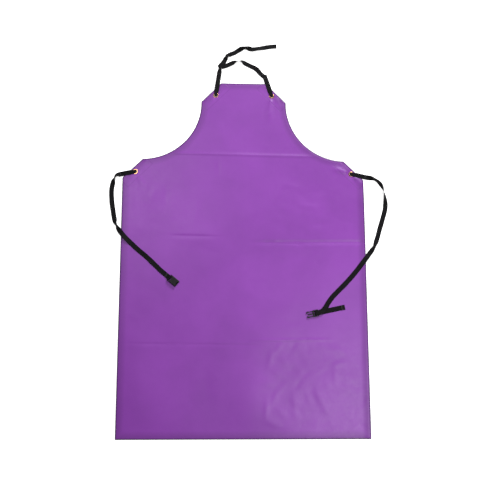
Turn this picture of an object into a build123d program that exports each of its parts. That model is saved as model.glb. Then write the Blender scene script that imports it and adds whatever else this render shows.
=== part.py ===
from build123d import *
import os
from math import cos, radians, sin, tan

# A bib apron lying flat on a table, front up, with its tapes laid out beside it. Millimetres.
# X runs across the apron, +Y from hem to bib, +Z up. The origin is under the middle of the
# panel, at the back cover's face.

# ---- panel outline -------------------------------------------------------------------------
PANEL_WIDTH = 750.0
PANEL_LENGTH = 1100.0
BIB_HALF = 134.0  # half the bib's width where its chamfer ends
BIB_CHAMFER = 63.0
WAIST_CHAMFER = 61.0
WAIST_Y = 297.0  # top of the waist chamfer
HALF = PANEL_WIDTH / 2
TOP_Y = PANEL_LENGTH / 2
BIB_Y = TOP_Y - BIB_CHAMFER
WAIST_X = HALF - WAIST_CHAMFER

# ---- layers, from the back up --------------------------------------------------------------
BACK_THICK = 0.35
PLY_THICK = 0.6
FRONT_THICK = 0.45
PLY_NAMES = ("back", "middle", "front")
PLY_TOP = BACK_THICK + len(PLY_NAMES) * PLY_THICK
FRONT_TOP = PLY_TOP + FRONT_THICK
RIM_WIDTH = 6.0  # welded border all round
PLY_INSET = 7.0

# At each corner the plies stop short, and the back cover is lifted onto a doubling patch,
# which leaves room under it for the washer and the tape.
ZONE_HALF = 56.0  # half the corner zone's length along the chamfer
ZONE_DEPTH = 38.0  # its depth, in from the chamfer
ZONE_OUTSIDE = 40.0  # how far the zone's cutting shape reaches past the edge
ZONE_GAP = 2.0  # between a ply and the zone
PATCH_THICK = 0.45
PATCH_BOTTOM = PLY_TOP - PATCH_THICK
RAISED_BOTTOM = PATCH_BOTTOM - BACK_THICK

# ---- eyelets -------------------------------------------------------------------------------
BIB_EYELET = (88.6, 509.6)
WAIST_EYELET = (336.6, 255.3)
HOLE_R = 4.8
BARREL_R = 5.2
SHEET_HOLE_R = 5.3
FLANGE_R = 8.25
FLANGE_RISE = 0.75
FLANGE_ROLL = 1.4  # width of the flange's rounded rim
THROAT_DROP = 0.5  # the flange's mouth ends this far below the front cover's face
LIP_WIDTH = 1.5
LIP_BOTTOM = 0.8
LIP_TOP = 1.0

# ---- tape ----------------------------------------------------------------------------------
TAPE_WIDTH = 15.0
TAPE_THICK = 0.7
GAP = 0.05  # air between the tape and what it lies on
BUNCHED_WIDTH = 7.6  # the tape gathered up where it goes through an eyelet
EASING_WIDTH = 10.8  # its width where the gathers open out
GATHER_END = 3.0  # distances from the eyelet's middle: the gathers start to open here,
EASING_END = 24.0  # are half open here
FLAT_START = 38.0  # and the tape is flat from here on
LEG_TOP = FRONT_TOP + FLANGE_RISE + 0.1 + TAPE_THICK  # the tape's top over an eyelet flange
TACK_WIDTH = 2.2  # a bar tack, measured along the tape
TACK_HEIGHT = 0.3
ROW_START = 3.4  # the row of single stitches beside it
ROW_END = 4.0
ROW_HEIGHT = 0.25
TACK_MARGIN = 0.8  # from the tape's side to the threads
ROW_MARGIN = 1.4
HEM_LENGTH = 11.0  # the turned-up end of the waist tail
FOLD_Y = 578.0  # the neck tape folds over on this line
FOLD_CLEAR = 1.0
TALL = 30.0  # taller than anything here, for cutting tools
FAR = 2000.0

# ---- buckle --------------------------------------------------------------------------------
SOCKET_BAR = (-224.7, -75.9)
SOCKET_ANGLE = -39.0  # plan direction from bar to mouth
SOCKET_BAR_Z = 5.6
SOCKET_WIDTH = 21.5
SOCKET_THICK = 7.4
SOCKET_BOTTOM = FRONT_TOP + 0.1
SOCKET_BACK = 5.0
SOCKET_MOUTH = 30.0
SOCKET_WALL = 1.3
SOCKET_SIDE_WALL = 1.85
SOCKET_BACK_WALL = 3.0
WINDOW_BACK = 20.0  # the release windows, measured back from the mouth
WINDOW_FRONT = 11.4
WINDOW_EDGE = 2.0
THUMB_R = 7.5  # the scoop for the thumb at the mouth
THUMB_OUT = 3.2
THUMB_DEPTH = 3.0
CHEEK_R = 2.6  # the two ears that hold the bar
CHEEK_THICK = 2.0
BAR_R = 1.5
CLIP_BAR = (217.0, -181.0)
CLIP_ANGLE = 192.0  # plan direction from bar to prong tips
CLIP_WIDTH = 20.4
CLIP_Z = 5.2  # height of the clip's middle
CLIP_THICK = 3.2
CLIP_FRONT = 8.9
CLIP_BACK = -9.0
REAR_SLOT = (-6.8, -1.2)
FRONT_SLOT = (1.2, 4.6)
RAIL_WIDTH = 2.0
BAR_HALF_HEIGHT = 0.8  # the bars are thinner than the rails, to take the tape
TONGUE_END = 24.0
TONGUE_HALF_WIDTH = 1.6
TONGUE_HALF_HEIGHT = 1.0
CLIP_LEG_END = 11.0
TURN_FRONT = 2.9  # how far forward the tape turns round the middle bar
PRONG_THICK = 2.6
PRONG_ROOT_GAP = 0.4

# ---- routes of the free tapes (x, y) -------------------------------------------------------
LEFT_ROUTE = [
    (-385.8, 245.7), (-398.6, 243.2), (-407, 231.5), (-410, 212), (-408.5, 185), (-405, 155),
    (-400.5, 128), (-395.5, 100), (-387, 79), (-371, 57), (-345, 31), (-320, 8), (-299, -9),
    (-276, -30), (-252.7, -53.2), (-237.2, -65.8),
]
RIGHT_ROUTE = [
    (385.8, 245.7), (404, 242.2), (425, 229), (437, 207), (442, 178), (443, 150), (432.5, 114),
    (422.5, 84), (412.5, 48), (400, 20), (380, -6), (349, -49), (322, -81), (295, -109),
    (266, -140), (241.1, -175.9), (227.9, -178.7),
]
RIGHT_TAIL_ROUTE = [(227.9, -178.7), (254, -173.1), (282, -167), (306, -162)]
NECK_ROUTE = [
    (68.5, 572.5), (63.5, 588.2), (46, 602), (20, 615), (-8, 626), (-34, 619), (-60, 606),
    (-86, 600),
]
NECK_TAIL_ROUTE = [
    (-83, 605), (-66, 621), (-53, 639), (-36, 650), (-15, 662), (8, 671), (32, 668.5),
    (60, 673), (85, 679), (109, 681),
]

os.makedirs("parts", exist_ok=True)
parts = {}


# ---- helpers -------------------------------------------------------------------------------
def at(point, angle=0.0, z=0.0):
    """The placement of a local frame whose u axis points along a plan angle."""
    return Location((point[0], point[1], z), (0, 0, angle))


def face_of(*points):
    """A flat face with straight sides."""
    return make_face(Polyline(*points, close=True))


def slab(face, low, high):
    """A plan face between two heights."""
    return Pos(0, 0, low) * extrude(face, high - low)


def block(u0, u1, v0, v1, z0, z1):
    """A box between two corners."""
    size = Box(u1 - u0, v1 - v0, z1 - z0)
    return Pos((u0 + u1) / 2, (v0 + v1) / 2, (z0 + z1) / 2) * size


def across(profile, width):
    """A (u, z) profile made solid over a width centred on v = 0."""
    return extrude(Plane.XZ * profile, width / 2, both=True)


def mirrored(shape, side):
    """The right-hand shape, or its mirror image for the left side (side = -1)."""
    return shape if side > 0 else mirror(shape, about=Plane.YZ)


def side_of(name):
    return 1 if name == "right" else -1


# ---- panel ---------------------------------------------------------------------------------
def half_edge(side):
    """One side of the panel: chamfer, armhole, chamfer, straight side."""
    reach_x = WAIST_X - BIB_HALF
    reach_y = BIB_Y - WAIST_Y
    middle = (side * (WAIST_X - reach_x * cos(radians(45))), BIB_Y - reach_y * sin(radians(45)))
    return [
        Line((side * (BIB_HALF - BIB_CHAMFER), TOP_Y), (side * BIB_HALF, BIB_Y)),
        ThreePointArc((side * BIB_HALF, BIB_Y), middle, (side * WAIST_X, WAIST_Y)),
        Line((side * WAIST_X, WAIST_Y), (side * HALF, WAIST_Y - WAIST_CHAMFER)),
        Line((side * HALF, WAIST_Y - WAIST_CHAMFER), (side * HALF, -TOP_Y)),
    ]


def panel_outline():
    top = Line((BIB_CHAMFER - BIB_HALF, TOP_Y), (BIB_HALF - BIB_CHAMFER, TOP_Y))
    hem = Line((-HALF, -TOP_Y), (HALF, -TOP_Y))
    return make_face(Wire([top, hem] + half_edge(1) + half_edge(-1)))


# name, chamfer's middle on the right-hand side, eyelet
CORNERS = {
    "bib": ((BIB_HALF - BIB_CHAMFER / 2, TOP_Y - BIB_CHAMFER / 2), BIB_EYELET),
    "waist": ((HALF - WAIST_CHAMFER / 2, WAIST_Y - WAIST_CHAMFER / 2), WAIST_EYELET),
}


def zone_rectangle(middle, grow=0.0):
    """The plan rectangle along one right-hand chamfer, reaching in by the zone's depth."""
    depth = ZONE_DEPTH + grow
    rectangle = Rectangle(ZONE_OUTSIDE + depth, 2 * (ZONE_HALF + grow))
    return at(middle, 45) * (Pos((ZONE_OUTSIDE - depth) / 2, 0) * rectangle)


def corner_zone(grow=0.0):
    """The plan rectangles along the four chamfers, as one sketch."""
    zones = Sketch()
    for middle, _ in CORNERS.values():
        for side in (1, -1):
            zones += mirrored(zone_rectangle(middle, grow), side)
    return zones


def eyelet_holes():
    """Cutting pegs at the four eyelets."""
    pegs = []
    for _, eyelet in CORNERS.values():
        for side in (1, -1):
            pegs.append(Pos(side * eyelet[0], eyelet[1], 0) * Cylinder(SHEET_HOLE_R, TALL))
    return pegs


outline = panel_outline()
inside_rim = offset(outline, -RIM_WIDTH, kind=Kind.INTERSECTION)
ply_face = offset(outline, -PLY_INSET, kind=Kind.INTERSECTION) - corner_zone(ZONE_GAP)
zone = outline & corner_zone()

cover = slab(outline, PLY_TOP, FRONT_TOP)
rim = slab(outline - inside_rim - corner_zone(), BACK_THICK, PLY_TOP)
parts["front_cover"] = (cover + rim) - eyelet_holes()

for index, name in enumerate(PLY_NAMES):
    low = BACK_THICK + index * PLY_THICK
    parts[f"shield_ply_{name}"] = slab(ply_face, low, low + PLY_THICK)

back = slab(outline - corner_zone(), 0, BACK_THICK)
raised = slab(zone, RAISED_BOTTOM, PATCH_BOTTOM)
step_wall = slab(zone - corner_zone(-BACK_THICK), 0, PATCH_BOTTOM)
parts["back_cover"] = (back + step_wall + raised) - eyelet_holes()


def corner_patch(middle):
    """The doubling patch between the covers at one right-hand corner."""
    return slab(outline & zone_rectangle(middle), PATCH_BOTTOM, PLY_TOP)


def eyelet_barrel():
    """A brass eyelet: domed flange, barrel and the lip turned over the washer."""
    crown = FRONT_TOP + FLANGE_RISE
    edge = FLANGE_R - FLANGE_ROLL
    throat = FRONT_TOP - THROAT_DROP
    lip_edge = BARREL_R + LIP_WIDTH
    profile = [
        Line((BARREL_R, LIP_TOP), (BARREL_R, FRONT_TOP)),
        Line((BARREL_R, FRONT_TOP), (FLANGE_R, FRONT_TOP)),
        Spline((FLANGE_R, FRONT_TOP), (edge, crown), tangents=((0, 1), (-1, 0))),
        Spline((edge, crown), (HOLE_R, throat), tangents=((-1, 0), (0, -1))),
        Line((HOLE_R, throat), (HOLE_R, LIP_BOTTOM)),
        Line((HOLE_R, LIP_BOTTOM), (lip_edge, LIP_BOTTOM)),
        Line((lip_edge, LIP_BOTTOM), (lip_edge, LIP_TOP)),
        Line((lip_edge, LIP_TOP), (BARREL_R, LIP_TOP)),
    ]
    return revolve(Plane.XZ * make_face(Wire(profile)), Axis.Z)


washer_face = Circle(FLANGE_R) - Circle(SHEET_HOLE_R)
for corner, (middle, eyelet) in CORNERS.items():
    for name in ("left", "right"):
        side = side_of(name)
        spot = Pos(side * eyelet[0], eyelet[1], 0)
        patch = corner_patch(middle) - Pos(eyelet[0], eyelet[1], 0) * Cylinder(SHEET_HOLE_R, TALL)
        parts[f"corner_patch_{corner}_{name}"] = mirrored(patch, side)
        parts[f"eyelet_{corner}_{name}"] = spot * eyelet_barrel()
        parts[f"eyelet_washer_{corner}_{name}"] = spot * slab(washer_face, LIP_TOP, RAISED_BOTTOM)


# ---- tape loops through the eyelets --------------------------------------------------------
def loop_profile(clear, length, eye=0.0):
    """
    Side view of a tape that comes up through an eyelet, goes over the panel's edge, down to
    the table and back under the edge. clear is how far the edge reaches. With an eye, the
    two legs part again beyond the bar tack to let another tape through.
    """
    half = TAPE_THICK / 2
    low = GAP
    leg = low + TAPE_THICK
    doubled = leg + TAPE_THICK
    foot = clear + 9
    outer = face_of(
        (-half, low), (length, low), (length, doubled), (foot, doubled),
        (clear, LEG_TOP - 0.5), (FLANGE_R + 3, LEG_TOP), (-half, LEG_TOP),
    )
    inner = face_of(
        (half, leg), (foot - 1, leg), (clear - 0.5, LEG_TOP - TAPE_THICK - 0.5),
        (FLANGE_R + 2.6, LEG_TOP - TAPE_THICK), (half, LEG_TOP - TAPE_THICK),
    )
    profile = outer - inner
    if eye:
        rise = 2 * GAP + TAPE_THICK
        end = length + eye
        profile += face_of(
            (length, low), (end, low), (end, doubled + rise), (length + 3, doubled + rise),
            (length, doubled),
        )
        profile -= face_of(
            (length, leg), (length + 3.4, leg + rise), (end - TAPE_THICK, leg + rise),
            (end - TAPE_THICK, leg),
        )
    return profile


def loop_plan(end):
    """Plan of the same tape: gathered in the eyelet, full width once past the edge."""
    start = -TAPE_THICK / 2
    narrow = BUNCHED_WIDTH / 2
    middle = EASING_WIDTH / 2
    wide = TAPE_WIDTH / 2
    one_side = [
        (start, narrow), (GATHER_END, narrow), (EASING_END, middle), (FLAT_START, wide), (end, wide),
    ]
    return face_of(*[(u, -v) for u, v in one_side], *reversed(one_side))


def eyelet_loop(eyelet, angle, clear, length, eye=0.0):
    band = across(loop_profile(clear, length, eye), TAPE_WIDTH + 2)
    plan = slab(loop_plan(length + eye), 0, TALL)
    return at(eyelet, angle) * (band & plan)


def bar_tack(u, z, width=TAPE_WIDTH):
    """A dense bar of thread across the tape, with a lighter row beside it."""
    bar_half = width / 2 - TACK_MARGIN
    row_half = width / 2 - ROW_MARGIN
    bar = block(u, u + TACK_WIDTH, -bar_half, bar_half, z, z + TACK_HEIGHT)
    row = block(u + ROW_START, u + ROW_END, -row_half, row_half, z, z + ROW_HEIGHT)
    return Compound(children=[bar, row])


def split_at_fold(solid, keep_bib_side):
    """Cut a neck piece on its fold line, leaving a little room for the fold."""
    if keep_bib_side:
        return solid & block(-FAR, FAR, -FAR, FOLD_Y - FOLD_CLEAR, -TALL, TALL)
    return solid & block(-FAR, FAR, FOLD_Y + FOLD_CLEAR, FAR, -TALL, TALL)


WAIST_LOOP_ANGLE = 11.0  # how far the waist loops point below straight out
WAIST_LOOP_CLEAR = 34.0
WAIST_LOOP_LENGTH = 50.0
KEEPER_ANGLE = 81.7
KEEPER_CLEAR = 42.0
KEEPER_TACK = 76.0
KEEPER_EYE = 32.5
RIGHT_NECK_ANGLE = 107.7
RIGHT_NECK_CLEAR = 48.0
RIGHT_NECK_LENGTH = 78.0
DOUBLED_TOP = GAP + 2 * TAPE_THICK

waist_loop = eyelet_loop(WAIST_EYELET, -WAIST_LOOP_ANGLE, WAIST_LOOP_CLEAR, WAIST_LOOP_LENGTH)
waist_tack = at(WAIST_EYELET, -WAIST_LOOP_ANGLE) * bar_tack(WAIST_LOOP_LENGTH - 5, DOUBLED_TOP)
for name in ("left", "right"):
    parts[f"waist_loop_{name}"] = mirrored(waist_loop, side_of(name))
    parts[f"waist_stitches_{name}"] = mirrored(waist_tack, side_of(name))

left_bib_eyelet = (-BIB_EYELET[0], BIB_EYELET[1])
keeper = eyelet_loop(left_bib_eyelet, KEEPER_ANGLE, KEEPER_CLEAR, KEEPER_TACK, KEEPER_EYE)
parts["neck_loop_left"] = split_at_fold(keeper, True)
parts["neck_keeper_eye"] = split_at_fold(keeper, False)
keeper_tack = bar_tack(KEEPER_TACK - 4.6, DOUBLED_TOP)
parts["neck_keeper_stitches"] = at(left_bib_eyelet, KEEPER_ANGLE) * keeper_tack
right_neck = eyelet_loop(BIB_EYELET, RIGHT_NECK_ANGLE, RIGHT_NECK_CLEAR, RIGHT_NECK_LENGTH)
parts["neck_loop_right"] = split_at_fold(right_neck, True)
parts["neck_stitches_right"] = at(BIB_EYELET, RIGHT_NECK_ANGLE) * bar_tack(62, DOUBLED_TOP)


# ---- free tapes ----------------------------------------------------------------------------
def tape_path(name, route):
    """Straight runs joined by the largest tangent arcs that the runs allow."""
    points = [Vector(x, y) for x, y in route]
    radii = []
    for before, corner, after in zip(points, points[1:], points[2:]):
        run_in = corner - before
        run_out = after - corner
        turn = run_in.get_angle(run_out)
        radii.append(0.45 * min(run_in.length, run_out.length) / tan(radians(turn) / 2))
    path = FilletPolyline(*points, radius=radii)
    print(name, "length", round(path.length, 1))
    return path


def tape_band(name, route, profile):
    """
    A flat tape along a plan route. profile is its underside as (x, z) points with rising x:
    the tape lies on the table, climbs the panel's edge and lies on the panel.
    """
    path = tape_path(name, route)
    start = path @ 0
    direction = path % 0
    section_plane = Plane(start, x_dir=(-direction.Y, direction.X, 0), z_dir=direction)
    wall = sweep(section_plane * Rectangle(TAPE_WIDTH, TALL), path=path)
    under = list(profile)
    over = [(x, z + TAPE_THICK) for x, z in reversed(profile)]
    layer = extrude(Plane.XZ * face_of(*under, *over), FAR, both=True)
    return wall & layer


ON_TABLE = GAP
ON_PANEL = FRONT_TOP + GAP
CLIMB_START = HALF + 9.5
CLIMB_END = HALF + 1.5
# Heights of the right-hand tape as it comes back over its own tail into the clip.
OVER_TAIL = ON_PANEL + TAPE_THICK + GAP
CLIP_LEG_TOP = CLIP_Z + CLIP_THICK / 2 + 0.25

left_profile = [
    (-FAR, ON_TABLE), (-CLIMB_START, ON_TABLE), (-CLIMB_END, ON_PANEL), (0, ON_PANEL),
]
parts["waist_tape_left"] = tape_band("waist_tape_left", LEFT_ROUTE, left_profile)

right_profile = [
    (0, CLIP_LEG_TOP), (229, CLIP_LEG_TOP), (246, OVER_TAIL), (272, OVER_TAIL),
    (280, ON_PANEL), (CLIMB_END, ON_PANEL), (CLIMB_START, ON_TABLE), (FAR, ON_TABLE),
]
parts["waist_tape_right"] = tape_band("waist_tape_right", RIGHT_ROUTE, right_profile)
flat_profile = [(0, ON_PANEL), (FAR, ON_PANEL)]
parts["waist_tail_right"] = tape_band("waist_tail_right", RIGHT_TAIL_ROUTE, flat_profile)

TAIL_ANGLE = 11.8
TAIL_TOP = ON_PANEL + TAPE_THICK
tail_frame = at(RIGHT_TAIL_ROUTE[-1], TAIL_ANGLE)
hem = block(-HEM_LENGTH, 0, -TAPE_WIDTH / 2, TAPE_WIDTH / 2, TAIL_TOP, TAIL_TOP + TAPE_THICK)
parts["tail_hem_right"] = tail_frame * hem
parts["tail_stitches_right"] = tail_frame * bar_tack(2 - HEM_LENGTH, TAIL_TOP + TAPE_THICK)

# The neck tape goes between the legs of the keeper's eye and folds back over the upper leg.
IN_EYE = 2 * GAP + TAPE_THICK
OVER_EYE = IN_EYE + 2 * (GAP + TAPE_THICK)
neck_profile = [(-FAR, IN_EYE), (-64, IN_EYE), (-50, ON_TABLE), (FAR, ON_TABLE)]
parts["neck_tape"] = split_at_fold(tape_band("neck_tape", NECK_ROUTE, neck_profile), False)
tail_profile = [(-FAR, OVER_EYE), (-62, OVER_EYE), (-38, ON_TABLE), (FAR, ON_TABLE)]
parts["neck_tape_tail"] = tape_band("neck_tape_tail", NECK_TAIL_ROUTE, tail_profile)


# ---- buckle socket, on the left tape -------------------------------------------------------
def socket_tape_end():
    """The end of the left tape, turned round the socket's bar and sewn to itself."""
    outer_r = BAR_R + 0.35 + TAPE_THICK
    inner_r = BAR_R + 0.35
    low = ON_PANEL - SOCKET_BAR_Z
    leg = low + TAPE_THICK
    outer = Circle(outer_r) + face_of(
        (0, outer_r), (-10, leg + TAPE_THICK), (-16, leg + TAPE_THICK), (-16, low), (-2, low),
        (0, -outer_r),
    )
    inner = Circle(inner_r) + face_of((0, inner_r), (-9, leg), (-2, leg), (0, -inner_r))
    return at(SOCKET_BAR, SOCKET_ANGLE, SOCKET_BAR_Z) * across(outer - inner, TAPE_WIDTH)


def socket_body():
    """The hollow half of the side-release buckle, with its tape bar and release windows."""
    half = SOCKET_WIDTH / 2
    low = SOCKET_BOTTOM - SOCKET_BAR_Z
    high = low + SOCKET_THICK
    shell = block(SOCKET_BACK, SOCKET_MOUTH, -half, half, low, high)
    shell = fillet(shell.edges().filter_by(Axis.X), 1.8)
    shell = fillet(shell.faces().sort_by(Axis.X)[-1].edges(), 0.6)
    room = half - SOCKET_SIDE_WALL
    shell -= block(
        SOCKET_BACK + SOCKET_BACK_WALL, SOCKET_MOUTH + 1, -room, room,
        low + SOCKET_WALL, high - SOCKET_WALL,
    )
    shell -= block(
        SOCKET_MOUTH - WINDOW_BACK, SOCKET_MOUTH - WINDOW_FRONT, -half - 1, half + 1,
        low + WINDOW_EDGE, high - WINDOW_EDGE,
    )
    shell -= Pos(SOCKET_MOUTH + THUMB_OUT, 0, high) * Cylinder(THUMB_R, 2 * THUMB_DEPTH)
    root = SOCKET_BACK + 0.5
    cheek = Circle(CHEEK_R) + face_of((0, CHEEK_R), (0, -CHEEK_R), (root, low + 1), (root, high - 1))
    for side in (1, -1):
        shell += Pos(0, side * (half - CHEEK_THICK / 2), 0) * across(cheek, CHEEK_THICK)
    bar = Rot(90, 0, 0) * Cylinder(BAR_R, SOCKET_WIDTH - CHEEK_THICK)
    return at(SOCKET_BAR, SOCKET_ANGLE, SOCKET_BAR_Z) * (shell + bar)


parts["socket_tape_end"] = socket_tape_end()
parts["socket_stitches"] = at(SOCKET_BAR, SOCKET_ANGLE) * bar_tack(-15, ON_PANEL + 2 * TAPE_THICK)
parts["buckle_socket"] = socket_body()


# ---- buckle clip, on the right tape --------------------------------------------------------
def clip_frame():
    """The ladder-lock frame with its two bars, and the tongue that guides it into the socket."""
    half = CLIP_WIDTH / 2
    low = -CLIP_THICK / 2
    high = CLIP_THICK / 2
    plate = block(CLIP_BACK, CLIP_FRONT, -half, half, low, high)
    plate = fillet(plate.edges().filter_by(Axis.Z), 2.0)
    plate = fillet(plate.faces().sort_by(Axis.Z)[-1].edges(), 0.5)
    rail = half - RAIL_WIDTH
    for slot_start, slot_end in (REAR_SLOT, FRONT_SLOT):
        plate -= block(slot_start, slot_end, -rail, rail, low - 1, high + 1)
    for floor, ceiling in ((low - 1, -BAR_HALF_HEIGHT), (BAR_HALF_HEIGHT, high + 1)):
        plate -= block(CLIP_BACK - 1, FRONT_SLOT[0] + 0.1, -rail, rail, floor, ceiling)
    tongue = block(
        CLIP_FRONT - 1, TONGUE_END, -TONGUE_HALF_WIDTH, TONGUE_HALF_WIDTH,
        -TONGUE_HALF_HEIGHT, TONGUE_HALF_HEIGHT,
    )
    tongue = fillet(tongue.faces().sort_by(Axis.X)[-1].edges(), 0.5)
    return plate + tongue


def clip_prong(side):
    """One sprung arm with its barb."""
    root = CLIP_FRONT + PRONG_ROOT_GAP
    arm = make_face(Wire([
        Line((root, 6.4), (20, 6.4)),
        Line((20, 6.4), (26, 4.6)),
        ThreePointArc((26, 4.6), (28.9, 5.2), (28.6, 7.8)),
        Line((28.6, 7.8), (22.6, 9.9)),
        Line((22.6, 9.9), (20.8, 9.9)),
        Line((20.8, 9.9), (20.3, 8.6)),
        Line((20.3, 8.6), (root, 8.6)),
        Line((root, 8.6), (root, 6.4)),
    ]))
    prong = slab(arm, -PRONG_THICK / 2, PRONG_THICK / 2)
    return prong if side > 0 else mirror(prong, about=Plane.XZ)


def clip_tape_turn():
    """The right tape where it goes over the rear bar, round the middle bar and back under."""
    outside = TURN_FRONT
    inside = TURN_FRONT - TAPE_THICK
    outer = face_of(
        (-CLIP_LEG_END, ON_PANEL), (outside, ON_PANEL), (outside, CLIP_LEG_TOP + TAPE_THICK),
        (-CLIP_LEG_END, CLIP_LEG_TOP + TAPE_THICK),
    )
    inner = face_of(
        (-CLIP_LEG_END, ON_PANEL + TAPE_THICK), (inside, ON_PANEL + TAPE_THICK),
        (inside, CLIP_LEG_TOP), (-CLIP_LEG_END, CLIP_LEG_TOP),
    )
    return at(CLIP_BAR, CLIP_ANGLE) * across(outer - inner, TAPE_WIDTH)


clip_place = at(CLIP_BAR, CLIP_ANGLE, CLIP_Z)
parts["clip_tape_turn"] = clip_tape_turn()
parts["buckle_clip"] = clip_place * clip_frame()
parts["clip_prong_left"] = clip_place * clip_prong(1)
parts["clip_prong_right"] = clip_place * clip_prong(-1)

for name, shape in parts.items():
    shape.label = name
    export_step(shape, f"parts/{name}.step")
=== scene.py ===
"""The looks of a bib apron laid flat with its tapes beside it. Metres, except where a name ends in _MM."""
import math

import bpy
import numpy as np
from mathutils import Matrix, Vector
from mathutils.geometry import delaunay_2d_cdt


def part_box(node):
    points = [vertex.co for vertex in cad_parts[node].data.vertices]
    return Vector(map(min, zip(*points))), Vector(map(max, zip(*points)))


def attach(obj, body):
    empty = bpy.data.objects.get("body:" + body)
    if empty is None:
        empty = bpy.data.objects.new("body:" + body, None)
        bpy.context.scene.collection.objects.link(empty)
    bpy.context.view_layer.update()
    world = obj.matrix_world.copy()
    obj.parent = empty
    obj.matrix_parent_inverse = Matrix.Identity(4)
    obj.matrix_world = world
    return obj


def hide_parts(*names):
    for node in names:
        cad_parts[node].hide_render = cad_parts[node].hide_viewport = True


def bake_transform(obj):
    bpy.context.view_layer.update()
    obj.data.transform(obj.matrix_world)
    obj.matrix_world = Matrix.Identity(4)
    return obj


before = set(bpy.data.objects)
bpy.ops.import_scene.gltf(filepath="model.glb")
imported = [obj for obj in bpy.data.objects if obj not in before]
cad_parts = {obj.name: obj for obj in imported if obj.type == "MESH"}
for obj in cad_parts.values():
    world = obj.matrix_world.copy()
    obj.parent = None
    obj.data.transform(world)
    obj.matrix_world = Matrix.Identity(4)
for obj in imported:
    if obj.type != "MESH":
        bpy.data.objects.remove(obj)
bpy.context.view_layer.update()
MM = 0.001

# ---- the design's sizes, in millimetres ----
_, panel_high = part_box("front_cover")
HALF_MM = panel_high.x / MM
TOP_MM = panel_high.y / MM
BIB_HALF_MM = 134.0
BIB_Y_MM = 487.0
WAIST_X_MM = 314.0
WAIST_Y_MM = 297.0
SIDE_Y_MM = 236.0
FRONT_TOP_MM = panel_high.z / MM
COVER_MM = 0.45
BACK_MM = 0.35
PLY_MM = 0.6
PLY_INSET_MM = 7.0
PLY_CLEAR_MM = 66.0  # from an eyelet's middle
RAISED_MM = 1.35  # underside of the back cover over the tape, at the corners
# Middles of the cut corners on the right-hand side, and the doubling patches' reach from them.
CUT_CORNERS_MM = {"bib": (102.5, 518.5), "waist": (344.5, 266.5)}
PATCH_DEPTH_MM = 33.0
PATCH_HALF_MM = 53.0
PATCH_MM = 0.27
PATCH_GAP_MM = 0.01
PATCH_INSET_MM = 5.5
HOLE_MM = 5.3
FLANGE_MM = 8.25
TAPE_WIDTH_MM = 15.0
TAPE_MM = 0.7


def middle_of(node):
    """Plan middle of a CAD node, in millimetres."""
    low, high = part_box(node)
    return np.array([(low.x + high.x) / 2, (low.y + high.y) / 2]) / MM


EYELETS = [middle_of(f"eyelet_{c}_{s}") for c in ("bib", "waist") for s in ("left", "right")]
BIB_LEFT, BIB_RIGHT, WAIST_LEFT, WAIST_RIGHT = EYELETS
SOCKET = middle_of("buckle_socket")
CLIP = middle_of("buckle_clip")
CLIP_BAR = np.array([217.0, -181.0])
CLIP_DEGREES = 192.0
CLIP_TOP_MM = 7.05  # top of the clip's rear bar
SOCKET_BAR = np.array([-224.7, -75.9])
SOCKET_DEGREES = -39.0

# ---- routes of the free tapes, in metres, as the CAD has them ----
LEFT_ROUTE = [
    (-0.3858, 0.2457), (-0.3915, 0.2438), (-0.3985, 0.2355), (-0.4045, 0.219), (-0.4085, 0.192),
    (-0.405, 0.155), (-0.4005, 0.128), (-0.3955, 0.100), (-0.387, 0.079), (-0.371, 0.057),
    (-0.345, 0.031), (-0.320, 0.008), (-0.299, -0.009), (-0.276, -0.030), (-0.2527, -0.0532),
    (-0.2372, -0.0658),
]
RIGHT_ROUTE = [
    (0.3858, 0.2457), (0.404, 0.2422), (0.425, 0.229), (0.437, 0.207), (0.442, 0.178),
    (0.443, 0.150), (0.4325, 0.114), (0.4225, 0.084), (0.4125, 0.048), (0.400, 0.020),
    (0.380, -0.006), (0.347, -0.049), (0.320, -0.080), (0.292, -0.108), (0.262, -0.138),
    (0.2411, -0.1759), (0.2279, -0.1787),
]
RIGHT_TAIL_ROUTE = [(0.2279, -0.1787), (0.254, -0.1731), (0.282, -0.167), (0.306, -0.162)]
NECK_ROUTE = [
    (0.0685, 0.5725), (0.0555, 0.582), (0.041, 0.601), (0.015, 0.613), (-0.010, 0.627),
    (-0.036, 0.620), (-0.058, 0.6075), (-0.086, 0.6015),
]
NECK_TAIL_ROUTE = [
    (-0.079, 0.602), (-0.068, 0.6125), (-0.059, 0.627), (-0.0525, 0.642), (-0.043, 0.6495),
    (-0.027, 0.655), (-0.012, 0.6665), (0.006, 0.671), (0.030, 0.668), (0.060, 0.673),
    (0.085, 0.679), (0.109, 0.681),
]


def add_object(name, data):
    made = bpy.data.objects.new(name, data)
    bpy.context.collection.objects.link(made)
    return made


# ---- camera ----
CAMERA_PLACE = Vector((-0.1173, -0.3832, 2.2762))
CAMERA_AIM = Vector((-0.0117, 0.0430, 0.0))
SENSOR_MM = 36.0
LENS_MM = 56.7


def make_camera():
    """Nearly straight down on the apron, from a little below its middle and to the left."""
    back = (CAMERA_PLACE - CAMERA_AIM).normalized()
    right = Vector((0, 1, 0)).cross(back).normalized()
    up = back.cross(right)
    camera = add_object("camera", bpy.data.cameras.new("camera"))
    turn = Matrix((right, up, back)).transposed().to_4x4()
    camera.matrix_world = Matrix.Translation(CAMERA_PLACE) @ turn
    camera.data.sensor_width = SENSOR_MM
    camera.data.lens = LENS_MM
    camera.data.dof.use_dof = False
    bpy.context.scene.camera = camera


make_camera()


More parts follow.
